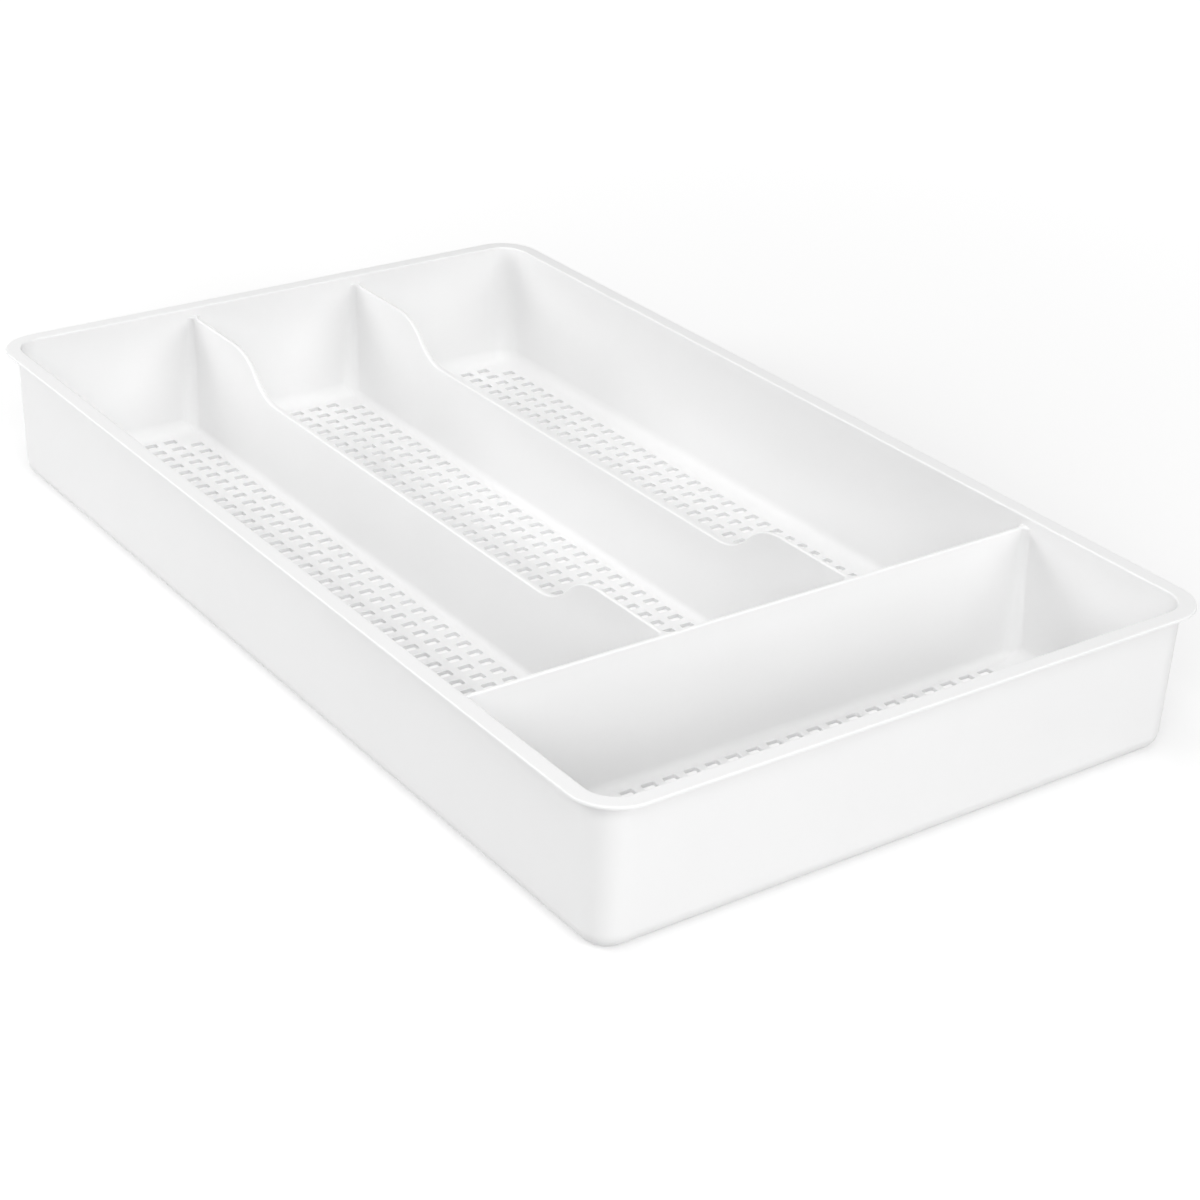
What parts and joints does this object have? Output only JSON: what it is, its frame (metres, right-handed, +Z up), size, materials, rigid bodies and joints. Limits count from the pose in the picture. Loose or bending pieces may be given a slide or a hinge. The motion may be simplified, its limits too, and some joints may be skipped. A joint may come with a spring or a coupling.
{
  "type": "cutlery tray",
  "caption": "Shallow rectangular cutlery tray with a turned-out rim, scooped lengthwise dividers, a cross divider and slotted drain floors.",
  "frame": {"origin": "centre of the tray's underside, on the surface that it stands on", "axes": "+X along the length towards the cross bay, +Y across to the far side, +Z up out of the bays"},
  "size_m": [0.336, 0.201, 0.0442],
  "materials": {
    "white_polypropylene": "satin"
  },
  "bodies": {
    "root": {"near_wall": "white_polypropylene", "far_wall": "white_polypropylene", "back_wall": "white_polypropylene", "front_wall": "white_polypropylene", "near_back_corner": "white_polypropylene", "near_front_corner": "white_polypropylene", "far_back_corner": "white_polypropylene", "far_front_corner": "white_polypropylene", "rim_lip": "white_polypropylene", "near_divider": "white_polypropylene", "far_divider": "white_polypropylene", "cross_divider": "white_polypropylene", "near_bay_floor": "white_polypropylene", "middle_bay_floor": "white_polypropylene", "far_bay_floor": "white_polypropylene", "cross_bay_floor": "white_polypropylene"}
  },
  "joints": []
}
